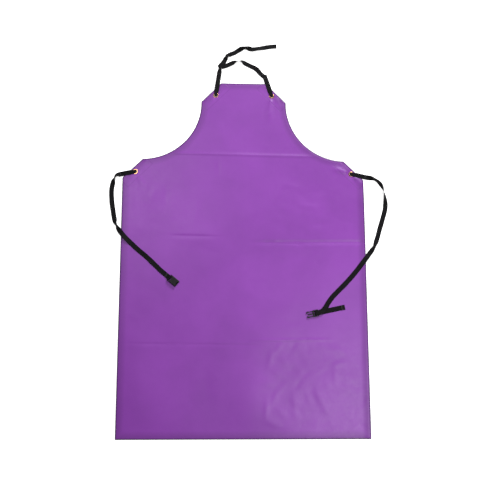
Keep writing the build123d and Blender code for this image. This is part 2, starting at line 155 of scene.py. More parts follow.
# ---- materials ----
class Nodes:
    """A material's node tree with short ways to add and join nodes."""

    def __init__(self, name):
        self.material = bpy.data.materials.new(name)
        self.material.use_nodes = True
        self.tree = self.material.node_tree
        self.shader = self.tree.nodes["Principled BSDF"]

    def add(self, kind, **settings):
        node = self.tree.nodes.new(kind)
        for key, value in settings.items():
            if hasattr(node, key):
                setattr(node, key, value)
            else:
                node.inputs[key.replace("_", " ")].default_value = value
        return node

    def join(self, source, target):
        self.tree.links.new(source, target)

    def feed(self, socket, source):
        self.join(source, self.shader.inputs[socket])

    def set(self, **values):
        for key, value in values.items():
            self.shader.inputs[key.replace("_", " ")].default_value = value

    def noise(self, where, scale, detail, roughness=0.5):
        node = self.add("ShaderNodeTexNoise", Scale=scale, Detail=detail, Roughness=roughness)
        self.join(where, node.inputs["Vector"])
        return node.outputs["Fac"]

    def wave(self, where, direction, scale, **settings):
        node = self.add("ShaderNodeTexWave", bands_direction=direction, Scale=scale, **settings)
        self.join(where, node.inputs["Vector"])
        return node.outputs["Fac"]

    def ramp(self, source, stops):
        node = self.add("ShaderNodeValToRGB")
        elements = node.color_ramp.elements
        while len(elements) < len(stops):
            elements.new(0.5)
        for element, (place, colour) in zip(elements, stops):
            element.position = place
            element.color = (*colour, 1.0)
        self.join(source, node.inputs["Fac"])
        return node.outputs["Color"]

    def spread(self, source, low, high, start=0.0, end=1.0):
        node = self.add("ShaderNodeMapRange", From_Min=start, From_Max=end, To_Min=low, To_Max=high)
        self.join(source, node.inputs["Value"])
        return node.outputs["Result"]

    def math(self, operation, *values):
        node = self.add("ShaderNodeMath", operation=operation)
        for socket, value in zip(node.inputs, values):
            if isinstance(value, (int, float)):
                socket.default_value = value
            else:
                self.join(value, socket)
        return node.outputs[0]

    def sum(self, first, second, weight=1.0):
        return self.math("MULTIPLY_ADD", second, weight, first)

    def product(self, colour, factor):
        node = self.add("ShaderNodeMix", data_type="RGBA", blend_type="MULTIPLY", Factor=1.0)
        sockets = [socket for socket in node.inputs if socket.type == "RGBA"]
        self.join(colour, sockets[0])
        self.join(factor, sockets[1])
        return next(socket for socket in node.outputs if socket.type == "RGBA")

    def bump(self, height, distance, strength):
        node = self.add("ShaderNodeBump", Distance=distance, Strength=strength)
        self.join(height, node.inputs["Height"])
        self.feed("Normal", node.outputs["Normal"])

    def place(self):
        return self.add("ShaderNodeTexCoord").outputs["Object"]


# Painted shade and highlight along the margin, by distance from the rim in millimetres: painted shade at
# the cut edge, the bead, painted shade in the groove, a painted highlight on its inner shoulder, a band of
# painted shade over the strip with no ply under it, then the open sheet.
EDGE_PAINTED_SHADE = [
    (0.0, 0.10), (1.8, 0.22), (2.8, 0.66), (3.3, 0.74), (3.9, 0.48), (4.9, 0.46), (5.7, 0.92),
    (6.9, 0.68), (12.0, 0.73), (25.0, 0.90),
]
EDGE_SPAN_MM = 30.0
WELD_LINE_MM = (0.3, 1.4)  # half width of the welded line: where its middle ends, and its edge


def doubling_outline(look, where):
    """0 to 1 along the welded outline of the doubled corners; the same on both sides."""
    parts = look.add("ShaderNodeSeparateXYZ")
    look.join(where, parts.inputs["Vector"])
    x = look.math("ABSOLUTE", parts.outputs["X"])
    y = parts.outputs["Y"]
    line = None
    for corner_x, corner_y in CUT_CORNERS_MM.values():
        dx = look.math("SUBTRACT", x, corner_x * MM)
        dy = look.math("SUBTRACT", y, corner_y * MM)
        inward = look.math("MULTIPLY", look.math("ADD", dx, dy), -math.sqrt(0.5))
        along = look.math("MULTIPLY", look.math("SUBTRACT", dy, dx), math.sqrt(0.5))
        past_depth = look.math("SUBTRACT", inward, PATCH_DEPTH_MM * MM)
        past_end = look.math("SUBTRACT", look.math("ABSOLUTE", along), PATCH_HALF_MM * MM)
        away = look.math("ABSOLUTE", look.math("MAXIMUM", past_depth, past_end))
        here = look.spread(away, 1.0, 0.0, *(width * MM for width in WELD_LINE_MM))
        line = here if line is None else look.math("MAXIMUM", line, here)
    return line


def vinyl_material(name, deep, light, roughness):
    """Coated sheet: satin, with a fine grain, cloudy colour, faint scuffs, welded lines, and painted shade
    and highlight along its margin.
    """
    look = Nodes(name)
    where = look.place()
    cloud = look.ramp(look.noise(where, 5.0, 4.0, 0.55), [(0.3, deep), (0.7, light)])
    edge = look.add("ShaderNodeAttribute", attribute_name="edge").outputs["Fac"]
    # Painted shade darkens the rim, the groove and a band along the edge, with a painted highlight on the
    # groove's inner shoulder.
    painted_edge_shade = look.ramp(edge, [(mm / EDGE_SPAN_MM, (shade, shade, shade)) for mm, shade in EDGE_PAINTED_SHADE])
    line = doubling_outline(look, where)
    colour = look.product(look.product(cloud, painted_edge_shade), look.spread(line, 1.0, 0.86))
    look.feed("Base Color", colour)
    scuff = look.noise(where, 90.0, 6.0, 0.7)
    look.feed("Roughness", look.spread(scuff, roughness - 0.01, roughness + 0.06, 0.35, 0.7))
    grain = look.noise(where, 1500.0, 2.0)
    orange = look.noise(where, 160.0, 3.0)
    look.bump(look.sum(look.sum(grain, orange, 1.1), line, -4.0), 0.00006, 0.55)
    look.set(IOR=1.5, Specular_IOR_Level=0.38)
    return look.material


def tape_material():
    """Black woven tape: cross ribs, a lengthwise warp, a slight sheen and greyed high points."""
    look = Nodes("black_tape")
    place = look.add("ShaderNodeUVMap", uv_map="tape").outputs["UV"]
    ribs = look.wave(place, "Y", 262.0, Distortion=0.6)
    warp = look.wave(place, "X", 390.0, Distortion=0.6)
    weave = look.sum(ribs, warp, 0.6)
    fuzz = look.noise(place, 900.0, 4.0, 0.6)
    tone = look.sum(weave, fuzz, 0.7)
    colours = [(0.25, (0.002, 0.0018, 0.0022)), (0.85, (0.011, 0.0105, 0.012))]
    look.feed("Base Color", look.ramp(look.spread(tone, 0.0, 1.0, 0.2, 2.1), colours))
    look.feed("Roughness", look.spread(fuzz, 0.5, 0.8))
    look.bump(tone, 0.00015, 0.6)
    look.set(Sheen_Weight=0.01, Sheen_Roughness=0.4, Specular_IOR_Level=0.07)
    return look.material


def thread_material():
    """Twisted polyester thread, a little greyer than the tape."""
    look = Nodes("black_thread")
    twist = look.wave(look.place(), "DIAGONAL", 900.0)
    colours = [(0.0, (0.008, 0.008, 0.009)), (1.0, (0.05, 0.05, 0.053))]
    look.feed("Base Color", look.ramp(twist, colours))
    look.bump(twist, 0.0001, 0.6)
    look.set(Roughness=0.55, Sheen_Weight=0.04, Specular_IOR_Level=0.3)
    return look.material


def mottled_material(name, mottle, colours, rough, grain, **settings):
    """One noise mottles the colour and the roughness, and a finer one is the grain."""
    look = Nodes(name)
    where = look.place()
    spots = look.noise(where, *mottle)
    look.feed("Base Color", look.ramp(spots, colours))
    look.feed("Roughness", look.spread(spots, *rough))
    scale, detail, depth, strength = grain
    look.bump(look.noise(where, scale, detail), depth, strength)
    look.set(**settings)
    return look.material


def brass_material():
    """Plated brass: bright, with hairline scratches and duller patches."""
    colours = [(0.35, (0.46, 0.23, 0.08)), (0.6, (0.74, 0.44, 0.20))]
    rough, grain = (0.20, 0.40, 0.3, 0.7), (1400.0, 3.0, 0.00003, 0.5)
    return mottled_material("brass", (260.0, 5.0, 0.65), colours, rough, grain, Metallic=1.0)


def plastic_material():
    """Black moulded acetal: fine spark texture, with faintly polished wear."""
    colours = [(0.3, (0.003, 0.003, 0.0034)), (0.8, (0.009, 0.009, 0.010))]
    rough, grain = (0.34, 0.52, 0.3, 0.7), (2600.0, 2.0, 0.00005, 0.6)
    mottle = (130.0, 4.0, 0.6)
    return mottled_material("black_plastic", mottle, colours, rough, grain, Specular_IOR_Level=0.22)


def rubber_material():
    """Loaded shielding rubber: dark grey and chalky."""
    colours = [(0.3, (0.035, 0.035, 0.038)), (0.75, (0.085, 0.085, 0.088))]
    rough, grain = (0.7, 0.9), (700.0, 3.0, 0.00008, 0.5)
    return mottled_material("shield_sheet", (30.0, 6.0, 0.7), colours, rough, grain)


FRONT_VINYL = vinyl_material("purple_vinyl", (0.222, 0.042, 0.352), (0.268, 0.052, 0.420), 0.41)
BACK_VINYL = vinyl_material("purple_vinyl_back", (0.190, 0.033, 0.312), (0.232, 0.043, 0.372), 0.52)
TAPE = tape_material()
THREAD = thread_material()
BRASS = brass_material()
PLASTIC = plastic_material()
RUBBER = rubber_material()


# ---- the lie of the panel ----
def smooth(value, start, end):
    """0 before start, 1 after end, and an S curve between."""
    t = np.clip((value - start) / (end - start), 0.0, 1.0)
    return t * t * (3 - 2 * t)


def facing(degrees):
    """A plan direction."""
    angle = math.radians(degrees)
    return np.array([math.cos(angle), math.sin(angle)])


def distance_to(points, spot):
    return np.linalg.norm(points - spot, axis=1)


def outline_corners(arc_step):
    """The panel's outline, in millimetres, anticlockwise, with its armholes as short chords."""
    reach = np.array([WAIST_X_MM - BIB_HALF_MM, BIB_Y_MM - WAIST_Y_MM])
    start = np.array([BIB_HALF_MM, BIB_Y_MM])
    end = np.array([WAIST_X_MM, WAIST_Y_MM])
    middle = np.array([WAIST_X_MM, BIB_Y_MM]) - reach * math.cos(math.radians(45))
    centre = circle_centre(start, middle, end)
    radius = np.linalg.norm(start - centre)
    angle_a, angle_b = (math.atan2(*(p - centre)[::-1]) % (2 * math.pi) for p in (end, start))
    angles = np.linspace(angle_a, angle_b, 1 + max(2, round(radius * abs(angle_a - angle_b) / arc_step)))
    armhole = centre + radius * np.stack([np.cos(angles), np.sin(angles)], axis=1)
    top_half = BIB_HALF_MM - (TOP_MM - BIB_Y_MM)
    right = [(HALF_MM, -TOP_MM), (HALF_MM, SIDE_Y_MM), *armhole, (top_half, TOP_MM)]
    left = [(-x, y) for x, y in reversed(right)]
    return np.array([*right, *left])


def outline_points(step):
    """Points a step apart all along the outline."""
    corners = outline_corners(step)
    points = []
    for here, there in zip(corners, np.roll(corners, -1, axis=0)):
        pieces = max(1, round(float(np.linalg.norm(there - here)) / step))
        points.extend(here + (there - here) * k / pieces for k in range(pieces))
    return np.array(points)


def circle_centre(a, b, c):
    """Centre of the circle through three plan points."""
    rows = 2 * np.array([b - a, c - a])
    return np.linalg.solve(rows, np.array([b @ b - a @ a, c @ c - a @ a]))


EDGE = outline_corners(7.0)


def edge_distance(points):
    """Distance from the panel's edge in millimetres, positive inside."""
    here = EDGE
    along = np.roll(EDGE, -1, axis=0) - here
    squared = (along ** 2).sum(1)
    result = np.empty(len(points))
    for first in range(0, len(points), 2000):
        p = points[first:first + 2000, None, :]
        t = np.clip(((p - here) * along).sum(2) / squared, 0, 1)
        near = here + t[..., None] * along
        distance = np.sqrt(((p - near) ** 2).sum(2)).min(1)
        y = p[:, :, 1]
        crosses = (here[:, 1] > y) != (np.roll(here[:, 1], -1) > y)
        with np.errstate(divide="ignore", invalid="ignore"):
            at_x = here[:, 0] + along[:, 0] * (y - here[:, 1]) / along[:, 1]
        inside = (crosses & (p[:, :, 0] < at_x)).sum(1) % 2 == 1
        result[first:first + 2000] = np.where(inside, distance, -distance)
    return result


# Folds left from packing: height up the panel, crease height (below 0 for a valley), height of
# the broad rise around it, where across the panel it starts and ends, how it leans, and the
# widths of the crease's upper and lower flanks.
FOLDS_MM = [
    (313, 1.15, 0.6, -235, 205, -0.012, 5.5, 3.8),
    (34.0, -1.60, 1.1, 40, 420, 0.012, 6.5, 8.0),
    (51, -0.80, 1.2, -215, -90, -0.02, 3.4, 7.0),
    (-263, 0.75, 0.6, 40, 250, 0.008, 5.2, 3.6),
    (-276, -0.42, 0.6, -330, 40, -0.01, 3.0, 6.0),
]
FOLD_OFFSETS_MM = (-11.5, -8.6, -6.2, -4.2, -2.6, -1.2, 0.0, 1.2, 2.6, 4.2, 6.2, 8.6, 11.5)
FOLD_RISE_MM = 30.0
FOLD_FADE_MM = 40.0  # each side of a fold's ends
LOWEST_MM = -2.4  # the waves start this far down, and what stays below 0 lies on the table
SOFTNESS = 3.0  # of the bend where the sheet leaves the table
EMBOSS_MM = 0.16
WELD_MM = 4.2  # width of the rounded edge
WELD_DROP_MM = 1.3
GROOVE_MM = 0.28
GROOVE_INSET_MM = 5.0
SIDE_CURL_MM = 3.0  # the right-hand side turns up a little
# Broad waves: length, direction in degrees, phase, height.
WAVES_MM = [
    (620, 78, 0.4, 2.2), (410, 12, 1.9, 1.7), (290, 130, 0.2, 1.0), (230, 40, 2.6, 0.7),
    (170, 95, 4.0, 0.35), (96, 62, 1.1, 0.14), (74, 118, 0.3, 0.10),
]
# Dents and small rises: x, y, half length, half width, direction in degrees, height.
DENTS_MM = [
    (28, -440, 170, 62, 82, 2.4), (225, -400, 160, 120, 0, 1.5), (60, -215, 230, 75, 0, 2.2),
    (285, -331, 24, 9, 18, 1.0), (235, -355, 22, 9, 30, -0.7), (205, -432, 32, 10, 118, -0.7),
    (150, -455, 36, 11, 96, 1.0), (240, -462, 28, 10, 112, 0.6), (330, -495, 30, 10, 70, 0.7),
    (-110, -390, 50, 18, 95, -0.7), (-215, -330, 46, 16, 60, 0.6), (-300, -120, 60, 18, 84, 0.8),
    (-190, -215, 44, 14, 15, 0.5), (20, -120, 50, 16, 165, 0.5), (60, 110, 40, 12, 10, -0.6),
    (-240, 175, 34, 9, 88, -1.2), (-80, 270, 20, 6, 92, -0.9), (-285, 190, 52, 20, 84, 1.8),
    (200, 150, 30, 8, 172, 1.0), (235, 95, 28, 8, 5, -1.0), (215, 195, 26, 8, 10, -0.9),
    (150, 215, 30, 9, 165, 0.8), (-150, 120, 40, 12, 80, 0.5), (78, 455, 32, 9, 84, 2.0),
    (108, 430, 44, 10, 78, -1.8), (-70, 380, 36, 12, 100, 0.5), (0, 475, 40, 11, 4, 0.5),
    (330, 60, 40, 12, 100, 0.7), (60, -90, 34, 10, 30, 0.5), (110, -200, 40, 12, 160, -0.5),
    (180, -215, 36, 10, 15, 0.5), (-250, 20, 40, 12, 70, -0.5),
]


def scattered(count, low, high, height):
    """Small crinkles spread evenly over a rectangle, half of them up and half down."""
    made = []
    for k in range(count):
        across, up, size, lean = ((k + 1) * share % 1.0 for share in (0.755, 0.570, 0.618, 0.236))
        spot = (low[0] + (high[0] - low[0]) * across, low[1] + (high[1] - low[1]) * up)
        sign = 1 if k % 2 else -1
        made.append((*spot, 11 + 17 * lean, 6 + 5 * size, 180 * size, sign * height * (0.6 + lean)))
    return made


CRINKLES_MM = scattered(44, (60, -535), (368, -275), 0.58)
CRINKLES_MM += scattered(30, (90, -40), (350, 230), 0.42)
CRINKLES_MM += scattered(30, (-350, -250), (-60, 230), 0.22)
# Puckers that run from the eyelets: eyelet, direction in degrees, reach, height.
PUCKERS_MM = [
    (WAIST_RIGHT, 162, 70, 3.2), (WAIST_RIGHT, 134, 46, 1.1), (WAIST_RIGHT, -46, 62, 3.2),
    (WAIST_RIGHT, -100, 44, 0.5), (WAIST_LEFT, 38, 44, 0.9), (WAIST_LEFT, -128, 40, 1.3),
    (WAIST_LEFT, -92, 60, 0.7), (WAIST_LEFT, -60, 64, 1.4), (BIB_LEFT, -120, 36, 0.9),
    (BIB_LEFT, -60, 34, 0.5), (BIB_RIGHT, -98, 95, 2.2), (BIB_RIGHT, -42, 42, 1.0),
    (BIB_RIGHT, -70, 40, 0.4),
]
# Pinches in the weld at the ends of the cut corners, in the same form as the dents.
PINCHES_MM = [
    (-125, 489.5, 9, 2.6, 48, -1.35), (-117, 494, 8, 2.4, 44, 0.8), (119, 489.5, 8, 2.4, 134, -1.1),
    (-311, 291, 9, 2.4, 44, -1.2), (309, 291, 7, 2.0, 134, -0.6),
]


def turned(points, centre, degrees):
    """Plan offsets from a centre, along and across a direction."""
    angle = math.radians(degrees)
    offset = points - np.array(centre)
    along = offset[:, 0] * math.cos(angle) + offset[:, 1] * math.sin(angle)
    side = offset[:, 1] * math.cos(angle) - offset[:, 0] * math.sin(angle)
    return along, side


def bumps(points, rows):
    """Sum of rounded rises: x, y, half length, half width, direction in degrees, height."""
    height = np.zeros(len(points))
    for cx, cy, half_length, half_width, degrees, rise in rows:
        along, side = turned(points, (cx, cy), degrees)
        height += rise * np.exp(-(along / half_length) ** 2 - (side / half_width) ** 2)
    return height


def free_to_lift(points):
    """0 where the eyelets and the buckle halves press the sheet flat, 1 away from them."""
    free = np.ones(len(points))
    for eyelet in EYELETS:
        free *= smooth(distance_to(points, eyelet), 34, 95)
    for weight in (SOCKET, CLIP):
        free *= smooth(distance_to(points, weight), 26, 85)
    return free


def beside_fold(points, fold):
    """Distance above a fold's line, and 1 along the fold, fading to 0 past its ends."""
    x, y = points[:, 0], points[:, 1]
    middle, _, _, start, end, slope, _, _ = fold
    starts = smooth(x, start - FOLD_FADE_MM, start + FOLD_FADE_MM)
    ends = smooth(x, end - FOLD_FADE_MM, end + FOLD_FADE_MM)
    return y - middle - slope * x, starts * (1 - ends)


def lift(points, inside):
    """How far the sheet stands off the table, in millimetres."""
    height = np.full(len(points), LOWEST_MM)
    for length, degrees, phase, rise in WAVES_MM:
        along, _ = turned(points, (0, 0), degrees)
        height += rise * (0.5 + 0.5 * np.sin(2 * math.pi * along / length + phase))
    for fold in FOLDS_MM:
        away, reach = beside_fold(points, fold)
        height += fold[2] * reach * np.exp(-(away / FOLD_RISE_MM) ** 2)
    height += bumps(points, DENTS_MM)
    height = np.logaddexp(height * SOFTNESS, 0) / SOFTNESS
    height *= 0.3 + 0.7 * smooth(inside, 0, 70)
    height += bumps(points, CRINKLES_MM) * smooth(inside, 4, 30)
    height *= free_to_lift(points)
    for fold in FOLDS_MM:
        away, reach = beside_fold(points, fold)
        flank = np.where(away > 0, *fold[6:])
        height += fold[1] * reach * np.exp(-(away / flank) ** 2) * smooth(inside, -2, 14)
    for eyelet, degrees, reach, rise in PUCKERS_MM:
        along, side = turned(points, eyelet, degrees)
        ridge = np.exp(-(side / (2.2 + 0.12 * np.abs(along))) ** 2)
        height += rise * ridge * smooth(along, 9, 20) * (1 - smooth(along, reach * 0.5, reach))
    height += SIDE_CURL_MM * smooth(points[:, 0], HALF_MM - 26, HALF_MM + 4) * free_to_lift(points)
    return np.maximum(height, 0)


def near_eyelet(points):
    """Distance to the nearest eyelet, in millimetres."""
    return np.min([distance_to(points, eyelet) for eyelet in EYELETS], axis=0)


def into_corner(points, corner, side):
    """Distances in from a cut corner and along it; side is 1 for the right, -1 for the left."""
    x, y = CUT_CORNERS_MM[corner]
    inward, along = turned(points, (side * x, y), 225 if side > 0 else -45)
    return inward, np.abs(along)


def doubling_emboss(points):
    """The doubling patches print through the front as a faint raised shape."""
    emboss = np.zeros(len(points))
    for corner in CUT_CORNERS_MM:
        for side in (1, -1):
            inward, along = into_corner(points, corner, side)
            deep = smooth(inward, PATCH_DEPTH_MM - 2, PATCH_DEPTH_MM + 0.5)
            shape = (1 - deep) * (1 - smooth(along, PATCH_HALF_MM - 2, PATCH_HALF_MM))
            emboss = np.maximum(emboss, shape)
    return EMBOSS_MM * emboss * smooth(near_eyelet(points), 9, 15)


def front_top(points, inside):
    """Height of the front cover's upper face: a rounded welded edge, then the sheet."""
    corner = 1 - smooth(near_eyelet(points), 30, 55)
    drop = WELD_DROP_MM * np.clip(1 - inside / WELD_MM, 0, 1) ** 1.6 * (1 - 0.45 * corner)
    groove = GROOVE_MM * np.exp(-((inside - GROOVE_INSET_MM) / 0.9) ** 2)
    sheet = FRONT_TOP_MM + lift(points, inside) + bumps(points, PINCHES_MM) + doubling_emboss(points)
    return sheet - drop - groove


def back_bottom(points, inside):
    """Height of the back cover's lower face, lifted over the tape at the corners."""
    corner = 1 - smooth(near_eyelet(points), 46, 64)
    edge = 0.4 * np.clip(1 - inside / WELD_MM, 0, 1)
    height = (lift(points, inside) + edge) * (1 - corner) + RAISED_MM * corner
    return np.maximum(height + np.minimum(bumps(points, PINCHES_MM), 0), 0)


# ---- sheet meshes ----
EYELET_RINGS_MM = (HOLE_MM, FLANGE_MM, 10, 12, 14.5, 17.5, 21)
RINGS_END_MM = 24.0


def plan_mesh(grid, edge_step, inset=0.0, rings=()):
    """
    Triangles over the panel's plan, in millimetres. Rings are rows of points that follow the
    edge at those distances, so the weld has its own shape, and each eyelet has its hole.
    """
    edge = outline_points(edge_step)
    if inset:
        edge = shrunk(edge, inset)
    points = [edge]
    for ring in rings:
        row = shrunk(edge, ring)
        points.append(row[edge_distance(row) > inset + ring * 0.97])
    clear = inset + (max(rings) if rings else 0) + grid * 0.6
    xs = np.arange(-HALF_MM + grid / 2, HALF_MM, grid)
    ys = np.arange(-TOP_MM + grid / 2, TOP_MM, grid)
    lattice = np.array([(x + (grid / 2 if j % 2 else 0), y) for j, y in enumerate(ys) for x in xs])
    lattice = lattice[edge_distance(lattice) > clear]
    lattice = lattice[near_eyelet(lattice) > RINGS_END_MM]
    for fold in FOLDS_MM:
        middle, _, _, start, end, slope, _, _ = fold
        first = max(start - FOLD_FADE_MM, -HALF_MM + clear)
        across = np.arange(first, min(end + FOLD_FADE_MM, HALF_MM - clear), grid)
        rows = np.array([(x, middle + slope * x + away) for away in FOLD_OFFSETS_MM for x in across])
        points.append(rows[edge_distance(rows) > clear])
        near = np.abs(beside_fold(lattice, fold)[0]) < FOLD_OFFSETS_MM[-1] + 1.5
        beside = (lattice[:, 0] > across[0] - 2) & (lattice[:, 0] < across[-1] + 2)
        lattice = lattice[~(near & beside)]
    points.append(lattice)
    circle = np.linspace(0, 2 * math.pi, 32, endpoint=False)
    for eyelet in EYELETS:
        for radius in EYELET_RINGS_MM:
            row = eyelet + radius * np.stack([np.cos(circle), np.sin(circle)], axis=1)
            points.append(row[edge_distance(row) > clear] if radius > FLANGE_MM else row)
    points = np.concatenate(points)
    count = len(edge)
    loop = [(k, (k + 1) % count) for k in range(count)]
    made = delaunay_2d_cdt([Vector(p) for p in points], loop, [], 1, 1e-4)
    plan = np.array([tuple(v) for v in made[0]])
    faces = np.array([f for f in made[2] if len(f) == 3])
    middles = plan[faces].mean(axis=1)
    return plan, faces[near_eyelet(middles) > HOLE_MM * 0.98]


def shrunk(edge, inset):
    """The edge moved inward by an inset, in millimetres."""
    before = edge - np.roll(edge, 1, axis=0)
    after = np.roll(edge, -1, axis=0) - edge
    before /= np.linalg.norm(before, axis=1)[:, None]
    after /= np.linalg.norm(after, axis=1)[:, None]
    inward_a = np.stack([-before[:, 1], before[:, 0]], axis=1)
    inward_b = np.stack([-after[:, 1], after[:, 0]], axis=1)
    both = inward_a + inward_b
    both /= (both * inward_a).sum(1)[:, None]
    moved = edge + both * inset
    return moved[edge_distance(moved) > inset * 0.97]


def boundary_edges(faces):
    """Directed edges that only one triangle has."""
    edges = np.concatenate([faces[:, [0, 1]], faces[:, [1, 2]], faces[:, [2, 0]]])
    key = np.sort(edges, axis=1)
    _, index, counts = np.unique(key, axis=0, return_index=True, return_counts=True)
    return edges[index[counts == 1]]


def new_object(name, points, faces, material, uvs=None):
    """A smooth-shaded mesh object from points in metres."""
    mesh = bpy.data.meshes.new(name)
    mesh.from_pydata([tuple(p) for p in points], [], [tuple(int(i) for i in f) for f in faces])
    mesh.materials.append(material)
    mesh.validate()
    mesh.update()
    mesh.polygons.foreach_set("use_smooth", [True] * len(mesh.polygons))
    if uvs is not None:
        layer = mesh.uv_layers.new(name="tape")
        index = np.empty(len(mesh.loops), int)
        mesh.loops.foreach_get("vertex_index", index)
        layer.data.foreach_set("uv", uvs[index].astype(np.float32).ravel())
    return add_object(name, mesh)


def plan_area(plan, faces):
    """Flat area of a plan mesh, in square metres."""
    a, b, c = (plan[faces[:, k]] for k in range(3))
    cross = (b - a)[:, 0] * (c - a)[:, 1] - (b - a)[:, 1] * (c - a)[:, 0]
    return float(np.abs(cross).sum() / 2) * MM * MM


def make_sheet(node, plan, faces, top, bottom, material):
    """A closed sheet between two height fields over one plan, in a CAD node's place."""
    used, faces = np.unique(faces, return_inverse=True)
    faces = faces.reshape(-1, 3)
    plan, top, bottom = plan[used], top[used], bottom[used]
    count = len(plan)
    upper = np.column_stack([plan, top])
    lower = np.column_stack([plan, bottom])
    rim = boundary_edges(faces)
    walls = [(a, a + count, b + count, b) for a, b in rim]
    every = [tuple(f) for f in faces] + [tuple(f[::-1] + count) for f in faces] + walls
    sheet = new_object(f"{node}_sheet", np.concatenate([upper, lower]) * MM, every, material)
    # The distance from the rim, which sets the vinyl's painted edge shade.
    edge = sheet.data.attributes.new("edge", "FLOAT", "POINT")
    edge.data.foreach_set("value", np.tile(edge_distance(plan) / EDGE_SPAN_MM, 2).astype(np.float32))
    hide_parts(node)
    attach(sheet, "apron")
    plan_area(plan, faces)


GRID_MM = 6.0


def make_covers():
    plan, faces = plan_mesh(GRID_MM, 3.0, rings=(0.7, 1.5, 2.5, 3.4, 4.2, 5.0, 5.8, 7.0, 9.5))
    top = front_top(plan, edge_distance(plan))
    make_patches(plan, faces, top - COVER_MM)
    make_sheet("front_cover", plan, faces, top, top - COVER_MM, FRONT_VINYL)
    plan, faces = plan_mesh(GRID_MM, 4.0, rings=(2.0, 4.2, 7.5))
    bottom = back_bottom(plan, edge_distance(plan))
    make_sheet("back_cover", plan, faces, bottom + BACK_MM, bottom, BACK_VINYL)


def make_patches(plan, faces, underside):
    """The doubling patches behind the front cover at the cut corners follow its underside."""
    middles = plan[faces].mean(axis=1)
    welded_in = edge_distance(middles) > PATCH_INSET_MM
    for corner in CUT_CORNERS_MM:
        for name, side in (("left", -1), ("right", 1)):
            inward, along = into_corner(middles, corner, side)
            covered = faces[welded_in & (inward < PATCH_DEPTH_MM) & (along < PATCH_HALF_MM)]
            top = underside - PATCH_GAP_MM
            make_sheet(
                f"corner_patch_{corner}_{name}", plan, covered, top, top - PATCH_MM, BACK_VINYL,
            )


def make_plies():
    """The shielding plies follow the covers, so nothing flat shows through a wave."""
    plan, faces = plan_mesh(GRID_MM, 6.0, inset=PLY_INSET_MM)
    faces = faces[near_eyelet(plan[faces].mean(axis=1)) > PLY_CLEAR_MM]
    base = back_bottom(plan, edge_distance(plan)) + BACK_MM
    for index, name in enumerate(("back", "middle", "front")):
        low = base + PLY_MM * index
        high = low + PLY_MM * 0.97
        make_sheet(f"shield_ply_{name}", plan, faces, high, low, RUBBER)


make_covers()
make_plies()


# ---- tapes ----
RIB_STEP_MM = 0.6
GATHERED_MM = 7.2  # a tape's width where it goes through an eyelet
THIN_RIB = 0.80  # thickness of every other ring of the ribbing
LIE_GAP_MM = 0.06
# Half a cross-section: share of the half width, share of the half thickness.
SECTION = [
    (-1.0, 0.0), (-0.985, 0.7), (-0.93, 1.15), (-0.83, 0.95), (-0.4, 0.9), (0.0, 0.95), (0.4, 0.9),
    (0.83, 0.95), (0.93, 1.15), (0.985, 0.7),
]


def route_line(route, heights=None):
    """Closely spaced points, in millimetres, read from a smooth line through a route."""
    curve = bpy.data.curves.new("route", "CURVE")
    curve.dimensions = "3D"
    curve.resolution_u = 48
    spline = curve.splines.new("NURBS")
    spline.points.add(len(route) - 1)
    for k, (x, y) in enumerate(route):
        spline.points[k].co = (x, y, heights[k] if heights else 0.0, 1.0)
    spline.order_u = 3
    spline.use_endpoint_u = True
    holder = add_object("route", curve)
    mesh = bpy.data.meshes.new_from_object(holder.evaluated_get(bpy.context.evaluated_depsgraph_get()))
    points = np.array([tuple(v.co) for v in mesh.vertices]) / MM
    bpy.data.objects.remove(holder)
    bpy.data.curves.remove(curve)
    bpy.data.meshes.remove(mesh)
    return points


def along_line(points):
    """Distance of each point from the first, along the line."""
    return np.concatenate([[0], np.cumsum(np.linalg.norm(np.diff(points, axis=0), axis=1))])


def evenly(points, step):
    """The same line with points a step apart."""
    lengths = along_line(points)
    count = max(4, int(round(lengths[-1] / step)))
    wanted = np.linspace(0, lengths[-1], count + 1)
    return np.stack([np.interp(wanted, lengths, points[:, k]) for k in range(3)], axis=1)


def softened(values, window):
    """A running average that keeps the ends."""
    padded = np.concatenate([np.full(window, values[0]), values, np.full(window, values[-1])])
    kernel = np.hanning(2 * window + 1)
    return np.convolve(padded, kernel / kernel.sum(), "same")[window:-window]


def tangents(points):
    t = np.gradient(points, axis=0)
    return t / np.linalg.norm(t, axis=1)[:, None]


def table_or_panel(points):
    """Height of what lies under a plan point: the panel, or the table with a slope at the edge."""
    inside = edge_distance(points)
    on_panel = front_top(points, np.maximum(inside, 0))
    beside = FRONT_TOP_MM * 0.55 * np.clip(1 + inside / 9.0, 0, 1)
    return np.where(inside > 0, on_panel, beside)


def tube_faces(rings, size, first=0):
    """Faces of a closed tube, from rings of points that follow each other."""
    faces = []
    last = first + (rings - 1) * size
    for low in range(first, last, size):
        for k in range(size):
            after = (k + 1) % size
            faces.append((low + k, low + after, low + after + size, low + k + size))
    return [*faces, tuple(reversed(range(first, first + size))), tuple(range(last, last + size))]


